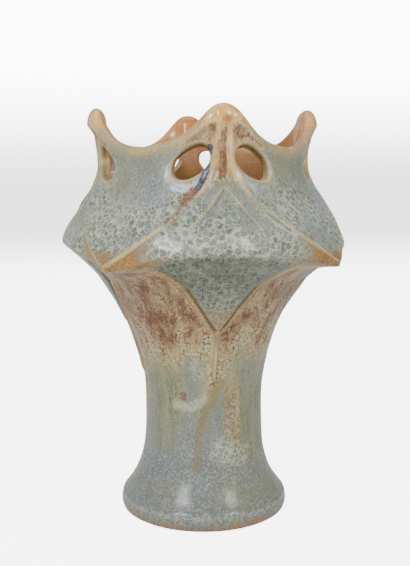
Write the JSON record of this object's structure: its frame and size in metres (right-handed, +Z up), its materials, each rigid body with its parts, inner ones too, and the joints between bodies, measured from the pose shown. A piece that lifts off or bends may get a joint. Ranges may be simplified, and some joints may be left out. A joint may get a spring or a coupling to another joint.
{
  "type": "stoneware vase",
  "caption": "Footed stoneware vase with a trumpet stem, a petalled shoulder drooping to pointed corners, and a horned rim pierced beside each rib.",
  "frame": {"origin": "centre of the flat base, on the surface the vase stands on", "axes": "+Z up the axis of the vase; the four horns lean out toward -Y, +X, +Y and -X"},
  "size_m": [0.2104, 0.2104, 0.2994],
  "materials": {
    "stem_glaze": "satin-gloss grey-green and slate glaze with vertical runs and fine dark speckle",
    "collar_glaze": "mottled red-brown glaze with cream speckle, running into olive grey",
    "petal_glaze": "glossy blue-grey glaze broken into dark cells with cream outlines",
    "horn_glaze": "glossy ochre-cream glaze streaked with red-brown"
  },
  "bodies": {
    "root": {"foot": "stem_glaze", "stem": "stem_glaze", "collar": "collar_glaze", "petal_front": "petal_glaze", "pendant_front": "petal_glaze", "web_front_right": "petal_glaze", "horn_strap_front": "horn_glaze", "bracket_front_right": "horn_glaze", "vein_front": "horn_glaze", "petal_right": "petal_glaze", "pendant_right": "petal_glaze", "web_right_right": "petal_glaze", "horn_strap_right": "horn_glaze", "bracket_right_right": "horn_glaze", "vein_right": "horn_glaze", "petal_back": "petal_glaze", "pendant_back": "petal_glaze", "web_back_right": "petal_glaze", "horn_strap_back": "horn_glaze", "bracket_back_right": "horn_glaze", "vein_back": "horn_glaze", "petal_left": "petal_glaze", "pendant_left": "petal_glaze", "web_left_right": "petal_glaze", "horn_strap_left": "horn_glaze", "bracket_left_right": "horn_glaze", "vein_left": "horn_glaze"}
  },
  "joints": []
}
